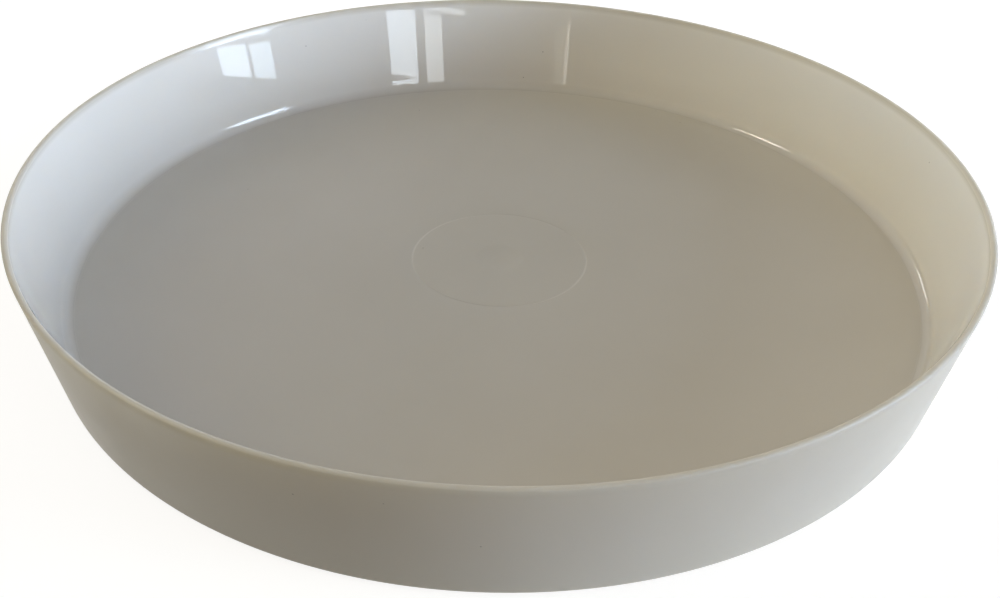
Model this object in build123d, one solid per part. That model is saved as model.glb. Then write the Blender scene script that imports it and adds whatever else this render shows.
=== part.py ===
from build123d import *
import os
from math import radians, tan

# Plant saucer: one thin plastic moulding, a round shallow dish whose wall leans outwards.
# It stands on a foot ring with its axis on +Z, and the ground is at height zero. Lengths are in millimetres.

# Overall sizes
rim_diameter = 300.0
dish_height = 41.5

# Moulded thicknesses: the wall is thinnest across its lip and thickens down to the floor
lip_width = 1.8
floor_thickness = 2.5

# Lean from upright of the wall's two sides and of the inner side of the foot ring, in degrees
outer_draft = 11.0
inner_draft = 15.5
foot_draft = 15.0

# Rounding: the crown of the lip above its two edges, the corner inside and the corner outside
lip_crown = 0.5
inner_corner_radius = 4.0
outer_corner_radius = 2.5

# Foot ring: the wall runs on down past the floor and lifts it off the ground
foot_width = 5.0
foot_height = 4.0

# Marks of the mould in the middle of the floor: the gate's dimple and the line round the gate insert
gate_dimple_diameter = 16.0
gate_dimple_depth = 0.5
insert_line_diameter = 58.0
insert_line_width = 0.6
insert_line_depth = 0.2

# Radii and heights of the half section, worked out from the sizes above
lip_edge_height = dish_height - lip_crown
rim_radius = rim_diameter / 2
base_radius = rim_radius - lip_edge_height * tan(radians(outer_draft))
floor_top = foot_height + floor_thickness
floor_radius = rim_radius - lip_width - (lip_edge_height - floor_top) * tan(radians(inner_draft))
foot_inner_radius = base_radius - foot_width
recess_radius = foot_inner_radius - foot_height * tan(radians(foot_draft))
gate_dimple_radius = gate_dimple_diameter / 2
insert_line_radius = insert_line_diameter / 2


def sharp_outline():
    """Edges of the half section, in radius and height, before the corners of the floor are rounded."""
    dimple_floor = (0, floor_top - gate_dimple_depth)
    dimple_edge = (gate_dimple_radius, floor_top)
    dome_tip = (0, foot_height - gate_dimple_depth)
    dome_edge = (gate_dimple_radius, foot_height)
    lip_inner_edge = (rim_radius - lip_width, lip_edge_height)
    lip_outer_edge = (rim_radius, lip_edge_height)
    dimple = TangentArc(dimple_floor, dimple_edge, tangent=(1, 0))
    dome = TangentArc(dome_tip, dome_edge, tangent=(1, 0))
    inside = Polyline(
        dimple_edge,
        (insert_line_radius - insert_line_width / 2, floor_top),
        (insert_line_radius, floor_top - insert_line_depth),
        (insert_line_radius + insert_line_width / 2, floor_top),
        (floor_radius, floor_top),
        lip_inner_edge,
    )
    lip = SagittaArc(lip_inner_edge, lip_outer_edge, lip_crown)
    outside = Polyline(
        lip_outer_edge,
        (base_radius, 0),
        (foot_inner_radius, 0),
        (recess_radius, foot_height),
        dome_edge,
    )
    axis_line = Line(dome_tip, dimple_floor)
    pieces = [dimple, inside, lip, outside, dome, axis_line]
    return [edge for piece in pieces for edge in piece.edges()]


def half_section():
    """Half section of the dish, with the two corners between floor and wall rounded."""
    section = make_face(sharp_outline())
    rounded_corners = [
        ((floor_radius, floor_top), inner_corner_radius),
        ((base_radius, 0), outer_corner_radius),
    ]
    for corner, radius in rounded_corners:
        nearest = section.vertices().sort_by_distance(corner)[0]
        section = fillet(nearest, radius)
    return section


saucer = revolve(Plane.XZ * half_section(), Axis.Z)

os.makedirs("parts", exist_ok=True)
export_step(saucer, "parts/saucer.step")
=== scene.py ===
"""Plant saucer: one off-white plastic moulding on pale ground, in soft light and among bright panes."""
from math import asin, cos, hypot, pi, radians, sin, sqrt, tan

import bpy
from mathutils import Matrix, Vector


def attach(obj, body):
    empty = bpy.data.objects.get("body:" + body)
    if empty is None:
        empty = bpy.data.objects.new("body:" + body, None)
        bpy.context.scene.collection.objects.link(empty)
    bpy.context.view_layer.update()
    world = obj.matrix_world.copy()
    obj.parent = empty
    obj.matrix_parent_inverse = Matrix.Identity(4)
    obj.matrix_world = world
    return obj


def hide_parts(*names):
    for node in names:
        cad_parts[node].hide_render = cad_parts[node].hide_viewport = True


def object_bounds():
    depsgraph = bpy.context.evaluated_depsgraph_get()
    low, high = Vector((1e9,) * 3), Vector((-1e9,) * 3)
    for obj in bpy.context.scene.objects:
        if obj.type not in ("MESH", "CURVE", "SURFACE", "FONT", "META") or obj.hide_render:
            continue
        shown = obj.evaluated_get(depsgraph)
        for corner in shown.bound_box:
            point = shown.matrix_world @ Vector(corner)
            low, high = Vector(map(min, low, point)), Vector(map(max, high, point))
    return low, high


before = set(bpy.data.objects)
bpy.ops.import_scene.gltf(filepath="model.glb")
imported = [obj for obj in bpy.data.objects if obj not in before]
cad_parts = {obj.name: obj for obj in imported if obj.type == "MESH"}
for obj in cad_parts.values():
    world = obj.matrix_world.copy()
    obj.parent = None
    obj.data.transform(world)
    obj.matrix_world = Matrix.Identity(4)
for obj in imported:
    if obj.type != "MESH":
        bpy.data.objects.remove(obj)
cad_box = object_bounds()

# Sizes of the moulding in metres: the first two come from the frame and the rest repeat the CAD's sizes,
# but the line round the gate insert is finer and shallower here
rim_radius = (cad_box[1].x - cad_box[0].x) / 2
dish_height = cad_box[1].z
lip_width = 0.0018
lip_crown = 0.0005
floor_top = 0.0065
inner_draft = radians(15.5)
outer_draft = radians(11.0)
inner_corner_radius = 0.004
outer_corner_radius = 0.0025
foot_width = 0.005
foot_height = 0.004
foot_draft = radians(15.0)
gate_dimple_radius = 0.008
gate_dimple_depth = 0.0005
insert_line_radius = 0.029
insert_line_width = 0.0005
insert_line_depth = 0.00008

# The insert line gets a painted highlight at this bearing and opposite to it, in degrees from +X, and
# painted shade between
insert_line_painted_highlight_bearing = 155.0
insert_line_painted_strength = 0.45

# Small softenings that a mould leaves on its edges, and the stub where the gate was broken off underneath
edge_radius = 0.00035
dimple_edge_radius = 0.004
gate_stub_radius = 0.0016
gate_stub_height = 0.0004
gate_stub_tip_share = 0.8

# Fineness of the lathed mesh, and over how many of its steps the polish and the painted light on the wall
# set in
turn_steps = 360
corner_steps = 14
edge_steps = 4
arc_steps = 12
wall_steps = 16
floor_steps = 14
groove_steps = 8
polish_start_steps = 4
painted_light_start_steps = 5

# Finish along the half section: how much painted light lightens the colour at two points of the corner, and
# the lip's polish
corner_painted_light_share = 0.2
wall_foot_painted_light_share = 0.85
lip_polish_shares = (0.1, 0.0)

# Colours of the plastic, each as a darker and a lighter tone that are mottled together: painted shade on
# the floor and outside, painted light on the inner wall; or, on the insert line, painted shade and a
# painted highlight that change with the bearing
floor_painted_shade_tones = ((0.567, 0.540, 0.485, 1), (0.592, 0.566, 0.514, 1))
wall_painted_light_tones = ((0.750, 0.722, 0.668, 1), (0.770, 0.745, 0.696, 1))
outside_painted_shade_tones = ((0.530, 0.496, 0.424, 1), (0.554, 0.521, 0.451, 1))
insert_line_painted_tones = ((0.47, 0.445, 0.395, 1), (0.84, 0.81, 0.76, 1))
mottle_scale = 16.0
mottle_detail = 3.0

# Stretch of a noise's values that runs from one tone or roughness to the other
noise_span = (0.3, 0.7)

# Specks in the plastic: cells to a metre, the reach of a dot in its cell, and the share of cells with none
speck_scale = 90.0
speck_reach = (0.014, 0.026)
speckless_share = 0.45
speck_strength = 0.6
speck_colour = (0.09, 0.075, 0.06, 1)

# Roughness of the satin and the polished surface, and the fine grain and slow wave that bend the light
rough_patch_scale = 38.0
rough_patch_detail = 4.0
rough_patch_roughness = 0.6
satin_roughness = (0.36, 0.44)
gloss_roughness = (0.018, 0.034)
grain_scale = 1800.0
grain_detail = 2.0
grain_share = 0.05
wave_scale = 30.0
wave_detail = 1.0
wave_share = 0.35
bump_strength = 0.35
bump_height = 0.0002

# Light in the plastic: its refractive index, and how much, how deep and in which tint it scatters inside
refractive_index = 1.46
scatter_weight = 0.6
scatter_depth = 0.007
scatter_tint = (1.0, 0.92, 0.8)

# Ground: its colours near and far, where one gives way to the other in rim radii, and how bright it shows
ground_near_colour = (0.30, 0.294, 0.28, 1)
ground_far_colour = (0.14, 0.137, 0.13, 1)
ground_near_reach = 1.2
ground_far_reach = 1.7
ground_shown = (0.85, 0.985)
ground_reach = 200
ground_steps = 64
ground_drop = 0.0002

# Camera, as the photo was taken: distances in rim radii from the middle of the base
view_elevation = radians(32.73)
view_distance = 2.6817
aim_pitch = radians(1.201)
aim_yaw = radians(-0.082)
aim_roll = radians(1.345)
focal_pixels = 1191.6
frame_width_pixels = 1000
sensor_width_mm = 36.0
lens_clip_start = 0.01

# Soft light from above and around: bearing from +X and height of each patch, its outer and full reach,
# all in degrees, and its brightness in red, green and blue
soft_patches = [
    (0, 90, 35, 10, (0.58, 0.56, 0.53)),
    (-100, 58, 30, 6, (0.40, 0.24, 0.03)),
    (-45, 58, 30, 6, (0.48, 0.51, 0.55)),
    (180, 58, 30, 6, (0.29, 0.25, 0.14)),
    (180, 32, 26, 5, (2.92, 2.74, 2.06)),
    (135, 32, 26, 5, (0.64, 0.70, 1.00)),
]

# Panes that show as reflections: the bearing and distance of each end, bottom and top height in metres, and
# brightness in red, green and blue
shown_panes = {
    "pane_a_left_sill": (-75.0, 3.0, -67.3, 3.0, 0.400, 0.414, (6.8, 7.1, 7.1)),
    "pane_a_left": (-72.3, 3.0, -67.3, 3.0, 0.414, 0.598, (5.8, 6.2, 6.4)),
    "pane_a_left_head": (-78.5, 3.0, -67.3, 3.0, 0.610, 0.626, (5.8, 6.1, 6.2)),
    "pane_a_right_sill": (-64.8, 3.0, -56.8, 3.0, 0.398, 0.414, (9.4, 10.3, 11.2)),
    "pane_a_right": (-64.8, 3.0, -56.8, 3.0, 0.414, 0.598, (7.4, 8.4, 9.4)),
    "pane_a_right_head": (-64.8, 3.0, -56.8, 3.0, 0.610, 0.626, (7.4, 8.0, 8.6)),
    "pane_b_left": (-23.0, 3.0, -17.1, 3.4, 0.20, 0.375, (5.7, 7.1, 8.4)),
    "pane_b_left_head": (-23.6, 3.0, -17.1, 3.4, 0.40, 0.65, (8.0, 9.4, 11.2)),
    "pane_b_left_high": (-22.6, 3.0, -17.1, 3.4, 0.65, 1.9, (13.0, 15.6, 19.0)),
    "pane_b_right": (-16.0, 3.45, -8.0, 4.2, 0.20, 0.375, (6.8, 8.2, 9.8)),
    "pane_b_right_head": (-16.0, 3.45, -3.8, 4.3, 0.40, 0.65, (8.0, 9.4, 11.2)),
    "pane_b_right_high": (-16.0, 3.45, -3.8, 4.3, 0.65, 3.4, (13.0, 15.6, 19.0)),
    "narrow_pane": (-108.6, 3.0, -107.7, 3.0, 0.38, 0.58, (4.0, 3.9, 3.6)),
    "narrow_pane_side": (-107.7, 3.0, -104.6, 3.0, 0.38, 0.58, (1.0, 0.97, 0.90)),
    "lamp_left": (163.0, 3.0, 169.2, 3.0, 2.6, 4.6, (24.0, 22.6, 20.0)),
    "lamp_left_side": (169.2, 3.0, 174.5, 3.0, 2.8, 4.4, (9.0, 8.5, 7.6)),
    "pane_back": (110.0, 3.0, 120.0, 3.0, 0.58, 1.0, (6.0, 6.0, 5.8)),
}

# Panes that only shed light, in the same terms
lit_panes = {
    "light_b": (-23.0, 3.0, -4.0, 3.0, 0.105, 0.638, (24.6, 28.8, 35.4)),
    "light_b_top": (-23.0, 3.0, -4.0, 3.0, 0.638, 1.463, (5.6, 7.4, 10.2)),
    "light_front_low": (-50.0, 3.0, -10.0, 3.0, 0.0105, 0.368, (2.8, 2.8, 2.8)),
    "light_right_low": (-10.0, 3.0, 30.0, 3.0, 0.0105, 0.368, (4.6, 5.1, 5.7)),
    "light_back_low": (40.0, 3.0, 130.0, 3.0, 0.0105, 0.45, (4.0, 3.8, 3.5)),
}

# Part of the ground near the dish that glows as if sunlit: its bearing in degrees, the light that it
# sends up, and the distance in rim radii at which that is full
sunlit_bearing = -38.0
sunlit_strength = 0.50
sunlit_reach = 1.1

lip_edge_height = dish_height - lip_crown
base_radius = rim_radius - lip_edge_height * tan(outer_draft)
floor_radius = rim_radius - lip_width - (lip_edge_height - floor_top) * tan(inner_draft)
foot_inner_radius = base_radius - foot_width
recess_radius = foot_inner_radius - foot_height * tan(foot_draft)


def straight(start, end, steps):
    """Points from start towards end, without the end itself."""
    return [tuple(a + (b - a) * i / steps for a, b in zip(start, end)) for i in range(steps)]


def rounded(before, corner, after, radius, steps):
    """Points of the arc that rounds a corner of the half section."""
    here = Vector(corner)
    back = (Vector(before) - here).normalized()
    ahead = (Vector(after) - here).normalized()
    half_angle = back.angle(ahead) / 2
    reach = radius / tan(half_angle)
    centre = here + (back + ahead).normalized() * (radius / sin(half_angle))
    first = here + back * reach - centre
    last = here + ahead * reach - centre
    sweep = first.angle_signed(last)
    points = []
    for i in range(steps + 1):
        turned = Matrix.Rotation(-sweep * i / steps, 2) @ first
        points.append(tuple(centre + turned))
    return points


def bowl_arc(tip, edge, steps):
    """Points of the shallow arc that leaves tip level and ends at edge."""
    rise = edge[1] - tip[1]
    radius = (edge[0] ** 2 + rise ** 2) / (2 * rise)
    points = []
    for i in range(steps):
        r = edge[0] * i / steps
        points.append((r, tip[1] + radius - sqrt(radius ** 2 - r ** 2)))
    return points


def crown_arc(start, end, crown, steps):
    """Points of the arc over the lip, between its two edges and both included."""
    half = hypot(end[0] - start[0], end[1] - start[1]) / 2
    radius = (half ** 2 + crown ** 2) / (2 * crown)
    middle = (start[0] + end[0]) / 2
    half_turn = asin(half / radius)
    points = []
    for i in range(steps + 1):
        turn = -half_turn + 2 * half_turn * i / steps
        points.append((middle + radius * sin(turn), start[1] + crown - radius + radius * cos(turn)))
    return points


def inner_floor_points():
    """Gate dimple, flat floor and the fine line of the insert, out to where the corner begins."""
    dimple_tip = (0.0, floor_top - gate_dimple_depth)
    dimple_edge = (gate_dimple_radius, floor_top)
    groove_start = insert_line_radius - insert_line_width / 2
    points = bowl_arc(dimple_tip, dimple_edge, arc_steps)[:-1]
    points += rounded(points[-1], dimple_edge, (groove_start, floor_top), dimple_edge_radius, edge_steps)
    points += straight(points[-1], (groove_start, floor_top), wall_steps)[1:]
    for i in range(groove_steps + 1):
        share = i / groove_steps
        dip = insert_line_depth * (1 - cos(2 * pi * share)) / 2
        points.append((groove_start + insert_line_width * share, floor_top - dip))
    return points


def section():
    """The half section from the middle of the floor over the lip to the middle of the underside.

    Each point holds its radius and height, its shares of the polish and the painted light, and 1 if
    outside.
    """
    lip_inner = (rim_radius - lip_width, lip_edge_height)
    lip_outer = (rim_radius, lip_edge_height)
    floor_corner = (floor_radius, floor_top)
    base_corner = (base_radius, 0.0)
    foot_edge = (foot_inner_radius, 0.0)
    recess_corner = (recess_radius, foot_height)
    dome_edge = (gate_dimple_radius, foot_height)
    dome_tip = (0.0, foot_height - gate_dimple_depth)
    marked = []

    def add(points, polish=(0, 0), painted_light=(0, 0), outside=0):
        count = max(len(points) - 1, 1)
        for i, (r, z) in enumerate(points):
            shares = [first + (last - first) * i / count for first, last in (polish, painted_light)]
            marked.append((r, z, *shares, outside))

    floor_points = inner_floor_points()
    corner = rounded(floor_points[-1], floor_corner, lip_inner, inner_corner_radius, corner_steps)
    wall = straight(corner[-1], lip_inner, wall_steps)[1:]
    add(floor_points)
    add(straight(floor_points[-1], corner[0], floor_steps)[1:])
    # Painted light on the colour sets in through the corner and is full up the inner wall
    add(corner[:polish_start_steps], (0, 1), (0, corner_painted_light_share))
    add(corner[polish_start_steps:], (1, 1), (corner_painted_light_share, wall_foot_painted_light_share))
    add(wall[:painted_light_start_steps], (1, 1), (wall_foot_painted_light_share, 1))
    add(wall[painted_light_start_steps:], (1, 1), (1, 1))
    add(crown_arc(lip_inner, lip_outer, lip_crown, arc_steps), lip_polish_shares, outside=1)
    outside = rounded(lip_outer, base_corner, foot_edge, outer_corner_radius, corner_steps)
    add(straight(lip_outer, outside[0], wall_steps)[1:], outside=1)
    add(outside, outside=1)
    add(rounded(base_corner, foot_edge, recess_corner, edge_radius, edge_steps), outside=1)
    add(rounded(foot_edge, recess_corner, dome_edge, edge_radius, edge_steps), outside=1)
    add(straight(marked[-1][:2], dome_edge, floor_steps)[1:], outside=1)
    dome = bowl_arc(dome_tip, dome_edge, arc_steps)[1:-1]
    dome = [point for point in dome if point[0] > gate_stub_radius]
    add(rounded(recess_corner, dome_edge, dome[-1], dimple_edge_radius, edge_steps), outside=1)
    add(dome[::-1], outside=1)
    stub_edge = dome_tip[1] - gate_stub_height
    stub_tip_radius = gate_stub_radius * gate_stub_tip_share
    add([(gate_stub_radius, dome_tip[1]), (stub_tip_radius, stub_edge), (0.0, stub_edge)], outside=1)
    return marked


def lathe(name, outline):
    """A closed mesh turned from the half section, smooth, with each point's shares kept on its vertices."""
    vertices = []
    shares = []
    rings = []
    for r, z, *finish in outline:
        count = turn_steps if r > 0 else 1
        rings.append([len(vertices) + k % count for k in range(turn_steps)])
        for k in range(count):
            turn = 2 * pi * k / turn_steps
            vertices.append((r * cos(turn), r * sin(turn), z))
            shares.append(finish)
    faces = []
    for lower, upper in zip(rings, rings[1:]):
        for k in range(turn_steps):
            n = (k + 1) % turn_steps
            loop = [lower[k], lower[n], upper[n], upper[k]]
            faces.append([v for i, v in enumerate(loop) if v not in loop[:i]])
    mesh = bpy.data.meshes.new(name)
    mesh.from_pydata(vertices, [], [face[::-1] for face in faces])
    mesh.polygons.foreach_set("use_smooth", [True] * len(mesh.polygons))
    for name_of_share, values in zip(("polish", "painted_light", "outside"), zip(*shares)):
        mesh.attributes.new(name_of_share, "FLOAT", "POINT").data.foreach_set("value", values)
    mesh.update()
    piece = bpy.data.objects.new(name, mesh)
    bpy.context.collection.objects.link(piece)
    return piece


class Nodes:
    """Short calls to add and join the nodes of one material or world."""

    def __init__(self, owner):
        owner.use_nodes = True
        self.tree = owner.node_tree
        self.tree.nodes.clear()

    def add(self, kind, **values):
        node = self.tree.nodes.new(kind)
        for key, value in values.items():
            setattr(node, key, value)
        return node

    def join(self, source, target):
        self.tree.links.new(source, target)

    def feed(self, socket, value):
        if isinstance(value, bpy.types.NodeSocket):
            self.join(value, socket)
        else:
            socket.default_value = value

    def math(self, operation, first, second=0.0, clamp=False):
        node = self.add("ShaderNodeMath", operation=operation, use_clamp=clamp)
        self.feed(node.inputs[0], first)
        self.feed(node.inputs[1], second)
        return node.outputs[0]

    def spread(self, value, low, high, new_low, new_high):
        node = self.add("ShaderNodeMapRange", clamp=True)
        for socket, number in zip(node.inputs, (value, low, high, new_low, new_high)):
            self.feed(socket, number)
        return node.outputs[0]

    def noise(self, place, scale, detail, roughness=0.5):
        node = self.add("ShaderNodeTexNoise")
        self.join(place, node.inputs["Vector"])
        node.inputs["Scale"].default_value = scale
        node.inputs["Detail"].default_value = detail
        node.inputs["Roughness"].default_value = roughness
        return node.outputs["Fac"]

    def share(self, name):
        return self.add("ShaderNodeAttribute", attribute_name=name).outputs["Fac"]

    def along(self, place, direction):
        node = self.add("ShaderNodeVectorMath", operation="DOT_PRODUCT")
        self.join(place, node.inputs[0])
        node.inputs[1].default_value = direction
        return node.outputs["Value"]

    def from_axis(self, place):
        flat = self.add("ShaderNodeVectorMath", operation="MULTIPLY")
        self.join(place, flat.inputs[0])
        flat.inputs[1].default_value = (1.0, 1.0, 0.0)
        node = self.add("ShaderNodeVectorMath", operation="LENGTH")
        self.join(flat.outputs[0], node.inputs[0])
        return node.outputs["Value"]

    def blend(self, share, first, second):
        node = self.add("ShaderNodeMix", data_type="RGBA")
        self.feed(node.inputs[0], share)
        self.feed(node.inputs[6], first)
        self.feed(node.inputs[7], second)
        return node.outputs[2]


def insert_line_painted_share(n, place):
    """How strongly the painted highlight and shade of the line round the gate insert show, by the distance
    from its circle.
    """
    off = n.math("ABSOLUTE", n.math("SUBTRACT", n.from_axis(place), insert_line_radius))
    return n.spread(off, 0.0, insert_line_width, insert_line_painted_strength, 0.0)


def insert_line_painted_tone(n, place):
    """The line's colour: a painted highlight on two opposite sides, and painted shade between them."""
    bearing = radians(insert_line_painted_highlight_bearing)
    side = n.along(place, (cos(bearing) / insert_line_radius, sin(bearing) / insert_line_radius, 0.0))
    return n.blend(n.math("MULTIPLY", side, side), *insert_line_painted_tones)


def speck_share(n, place):
    """How strongly the small dark specks show."""
    speck = n.add("ShaderNodeTexVoronoi")
    n.join(place, speck.inputs["Vector"])
    speck.inputs["Scale"].default_value = speck_scale
    chance = n.add("ShaderNodeSeparateColor")
    n.join(speck.outputs["Color"], chance.inputs[0])
    dot = n.spread(speck.outputs["Distance"], *speck_reach, 1.0, 0.0)
    dot = n.math("MULTIPLY", dot, n.math("GREATER_THAN", chance.outputs[0], speckless_share))
    return n.math("MULTIPLY", dot, speck_strength)


def off_white_plastic():
    """Off-white moulded plastic: polished inside the wall, satin elsewhere, faintly mottled and specked;
    its colour holds painted light and shade.
    """
    material = bpy.data.materials.new("off_white_plastic")
    n = Nodes(material)
    place = n.add("ShaderNodeTexCoord").outputs["Object"]
    polish = n.share("polish")
    shader = n.add("ShaderNodeBsdfPrincipled")
    output = n.add("ShaderNodeOutputMaterial")
    n.join(shader.outputs[0], output.inputs["Surface"])

    mottle = n.spread(n.noise(place, mottle_scale, mottle_detail), *noise_span, 0.0, 1.0)
    # Painted shade darkens the floor and the outside, and painted light lightens the inner wall
    painted_shade_floor = n.blend(mottle, *floor_painted_shade_tones)
    painted_light = n.blend(mottle, *wall_painted_light_tones)
    painted_shade_outside = n.blend(mottle, *outside_painted_shade_tones)
    outside = n.share("outside")
    colour = n.blend(n.share("painted_light"), n.blend(outside, painted_shade_floor, painted_shade_outside), painted_light)
    # Painted highlight and shade along the line round the insert, on the inside only
    painted_line_share = n.math("MULTIPLY", insert_line_painted_share(n, place), n.math("SUBTRACT", 1.0, outside))
    colour = n.blend(painted_line_share, colour, insert_line_painted_tone(n, place))
    n.join(n.blend(speck_share(n, place), colour, speck_colour), shader.inputs["Base Color"])

    patch = n.noise(place, rough_patch_scale, rough_patch_detail, rough_patch_roughness)
    satin = n.spread(patch, *noise_span, *satin_roughness)
    gloss = n.spread(patch, *noise_span, *gloss_roughness)
    rough = n.add("ShaderNodeMix", data_type="FLOAT")
    n.feed(rough.inputs[0], polish)
    n.feed(rough.inputs[2], satin)
    n.feed(rough.inputs[3], gloss)
    n.join(rough.outputs[0], shader.inputs["Roughness"])

    grain = n.noise(place, grain_scale, grain_detail)
    wave = n.noise(place, wave_scale, wave_detail)
    fine = n.math("MULTIPLY", grain, n.math("SUBTRACT", 1.0, polish))
    height = n.math("ADD", n.math("MULTIPLY", fine, grain_share), n.math("MULTIPLY", wave, wave_share))
    bump = n.add("ShaderNodeBump")
    bump.inputs["Strength"].default_value = bump_strength
    bump.inputs["Distance"].default_value = bump_height
    n.join(height, bump.inputs["Height"])
    n.join(bump.outputs[0], shader.inputs["Normal"])

    shader.inputs["IOR"].default_value = refractive_index
    shader.inputs["Subsurface Weight"].default_value = scatter_weight
    shader.inputs["Subsurface Scale"].default_value = scatter_depth
    shader.inputs["Subsurface Radius"].default_value = scatter_tint
    return material


def sees_background(n):
    """1 for rays that show the background itself: from the camera, reflected or through something clear."""
    path = n.add("ShaderNodeLightPath")
    seen = n.math("ADD", path.outputs["Is Camera Ray"], path.outputs["Is Glossy Ray"], clamp=True)
    return n.math("ADD", seen, path.outputs["Is Transmission Ray"], clamp=True)


def pale_floor():
    """Pale ground: white to the eye, and it keeps the shadow that the light leaves on it."""
    material = bpy.data.materials.new("pale_floor")
    n = Nodes(material)
    place = n.add("ShaderNodeTexCoord").outputs["Object"]
    near = rim_radius * ground_near_reach
    far = rim_radius * ground_far_reach
    away = n.spread(n.from_axis(place), near, far, 0.0, 1.0)
    lit = n.add("ShaderNodeBsdfDiffuse")
    n.join(n.blend(away, ground_near_colour, ground_far_colour), lit.inputs["Color"])
    bearing = radians(sunlit_bearing)
    towards = n.along(place, (cos(bearing), sin(bearing), 0.0))
    sunlit = n.spread(towards, 0.0, rim_radius * sunlit_reach, 0.0, sunlit_strength)
    sunlit = n.math("MULTIPLY", sunlit, n.math("SUBTRACT", 1.0, away))
    seen = sees_background(n)
    shown = n.math("MULTIPLY", seen, n.spread(away, 0.0, 1.0, *ground_shown))
    shed = n.math("MULTIPLY", n.math("SUBTRACT", 1.0, seen), sunlit)
    glow = n.add("ShaderNodeEmission")
    glow.inputs["Color"].default_value = (1, 1, 1, 1)
    n.join(n.math("ADD", shown, shed), glow.inputs["Strength"])
    both = n.add("ShaderNodeAddShader")
    n.join(lit.outputs[0], both.inputs[0])
    n.join(glow.outputs[0], both.inputs[1])
    n.join(both.outputs[0], n.add("ShaderNodeOutputMaterial").inputs["Surface"])
    return material


def make_floor():
    """Wide round ground under the dish."""
    turns = [2 * pi * k / ground_steps for k in range(ground_steps)]
    reach = rim_radius * ground_reach
    ring = [(reach * cos(turn), reach * sin(turn), 0.0) for turn in turns]
    mesh = bpy.data.meshes.new("ground")
    mesh.from_pydata(ring, [], [list(range(ground_steps))])
    mesh.materials.append(pale_floor())
    ground = bpy.data.objects.new("ground", mesh)
    ground.location.z = -ground_drop
    bpy.context.collection.objects.link(ground)


def make_world():
    """Soft light in patches overhead and around. The background itself shows white."""
    world = bpy.data.worlds.new("soft_light")
    bpy.context.scene.world = world
    n = Nodes(world)
    way = n.add("ShaderNodeTexCoord").outputs["Generated"]
    total = (0, 0, 0, 1)
    for bearing, height, wide, full, colour in soft_patches:
        level = cos(radians(height))
        middle = (level * cos(radians(bearing)), level * sin(radians(bearing)), sin(radians(height)))
        share = n.spread(n.along(way, middle), cos(radians(wide)), cos(radians(full)), 0.0, 1.0)
        sum_node = n.add("ShaderNodeMix", data_type="RGBA", blend_type="ADD")
        n.feed(sum_node.inputs[0], share)
        n.feed(sum_node.inputs[6], total)
        n.feed(sum_node.inputs[7], (*colour, 1))
        total = sum_node.outputs[2]
    light = n.add("ShaderNodeBackground")
    n.join(total, light.inputs["Color"])
    white = n.add("ShaderNodeBackground")
    white.inputs["Color"].default_value = (1, 1, 1, 1)
    both = n.add("ShaderNodeMixShader")
    n.join(sees_background(n), both.inputs[0])
    n.join(light.outputs[0], both.inputs[1])
    n.join(white.outputs[0], both.inputs[2])
    n.join(both.outputs[0], n.add("ShaderNodeOutputWorld").inputs["Surface"])


def ground_point(bearing, distance):
    """A point on the ground, by its bearing from +X in degrees and its distance from the dish's axis."""
    return Vector((distance * cos(radians(bearing)), distance * sin(radians(bearing)), 0.0))


def pane(name, start_bearing, start_distance, end_bearing, end_distance, bottom, top, brightness):
    """An upright bright pane that stands on a line over the ground and faces the dish."""
    start = ground_point(start_bearing, start_distance)
    end = ground_point(end_bearing, end_distance)
    across = (end - start).normalized()
    upright = Vector((0.0, 0.0, 1.0))
    outward = across.cross(upright)
    if outward.dot(start) < 0:
        across, outward = -across, -outward
    strongest = max(brightness)
    light = bpy.data.lights.new(name, "AREA")
    light.shape = "RECTANGLE"
    light.size = (end - start).length
    light.size_y = top - bottom
    light.color = [channel / strongest for channel in brightness]
    light.energy = strongest * pi * light.size * light.size_y
    holder = bpy.data.objects.new(name, light)
    turn = Matrix((across, upright, outward)).transposed().to_4x4()
    holder.matrix_world = Matrix.Translation((start + end) / 2 + upright * (bottom + top) / 2) @ turn
    holder.visible_camera = False
    bpy.context.collection.objects.link(holder)
    return holder


def make_lights():
    """Bright panes round the dish: some show in the polished wall, the others only shed light."""
    for name, place in shown_panes.items():
        pane(name, *place).visible_diffuse = False
    for name, place in lit_panes.items():
        pane(name, *place).visible_glossy = False


def make_camera():
    """Camera where the photo was taken from, with its aim and its small roll."""
    back = Vector((0.0, -cos(view_elevation), sin(view_elevation)))
    tilt = view_elevation + aim_pitch
    away = Vector((0.0, -cos(tilt), sin(tilt)))
    up = Vector((0.0, sin(tilt), cos(tilt)))
    right = Vector((1.0, 0.0, 0.0))
    axis = away * cos(aim_yaw) + right * sin(aim_yaw)
    level = right * cos(aim_yaw) - away * sin(aim_yaw)
    across = level * cos(aim_roll) + up * sin(aim_roll)
    upright = up * cos(aim_roll) - level * sin(aim_roll)
    lens = bpy.data.cameras.new("camera")
    lens.sensor_width = sensor_width_mm
    lens.lens = focal_pixels / frame_width_pixels * sensor_width_mm
    lens.clip_start = lens_clip_start
    holder = bpy.data.objects.new("camera", lens)
    pose = Matrix((across, upright, axis)).transposed().to_4x4()
    holder.matrix_world = Matrix.Translation(back * view_distance * rim_radius) @ pose
    bpy.context.collection.objects.link(holder)
    bpy.context.scene.camera = holder


def make_saucer():
    """The dish itself, in place of the CAD node."""
    shell = lathe("saucer_shell", section())
    shell.data.materials.append(off_white_plastic())
    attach(shell, "root")
    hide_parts("saucer")


bpy.context.scene.view_settings.view_transform = "Standard"
make_camera()
make_saucer()
make_floor()
make_world()
make_lights()
